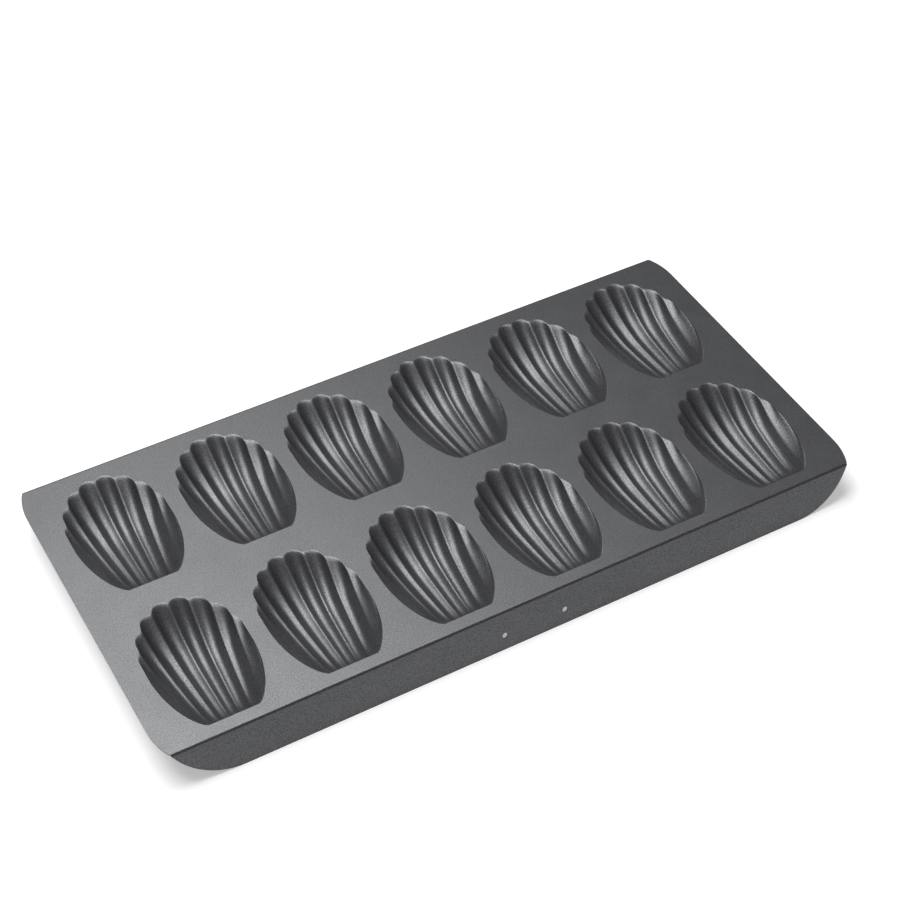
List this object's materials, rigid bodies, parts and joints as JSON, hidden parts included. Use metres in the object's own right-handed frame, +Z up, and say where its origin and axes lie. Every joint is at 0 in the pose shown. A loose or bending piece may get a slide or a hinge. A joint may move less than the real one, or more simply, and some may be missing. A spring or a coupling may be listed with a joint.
{
  "type": "madeleine pan",
  "caption": "Coated steel baking tray with two rows of fluted shell-shaped cups and down-turned long flanges.",
  "frame": {"origin": "middle of the pan, on the surface that the flanges stand on", "axes": "+X along the rows of cups, +Y to the rear, towards the fan ends of the cups, +Z up"},
  "size_m": [0.4, 0.209, 0.0195],
  "materials": {
    "deck_coat": "satin dark grey metallic non-stick coat on sheet steel, fine speckle",
    "cup_coat": "satin dark grey metallic non-stick coat on drawn sheet steel",
    "flange_coat": "satin dark grey metallic non-stick coat with a thin darker cut edge"
  },
  "bodies": {
    "root": {"deck": "deck_coat", "front_flange": "flange_coat", "rear_flange": "flange_coat", "front_cup_1": "cup_coat", "front_cup_2": "cup_coat", "front_cup_3": "cup_coat", "front_cup_4": "cup_coat", "front_cup_5": "cup_coat", "front_cup_6": "cup_coat", "rear_cup_1": "cup_coat", "rear_cup_2": "cup_coat", "rear_cup_3": "cup_coat", "rear_cup_4": "cup_coat", "rear_cup_5": "cup_coat", "rear_cup_6": "cup_coat"}
  },
  "joints": []
}
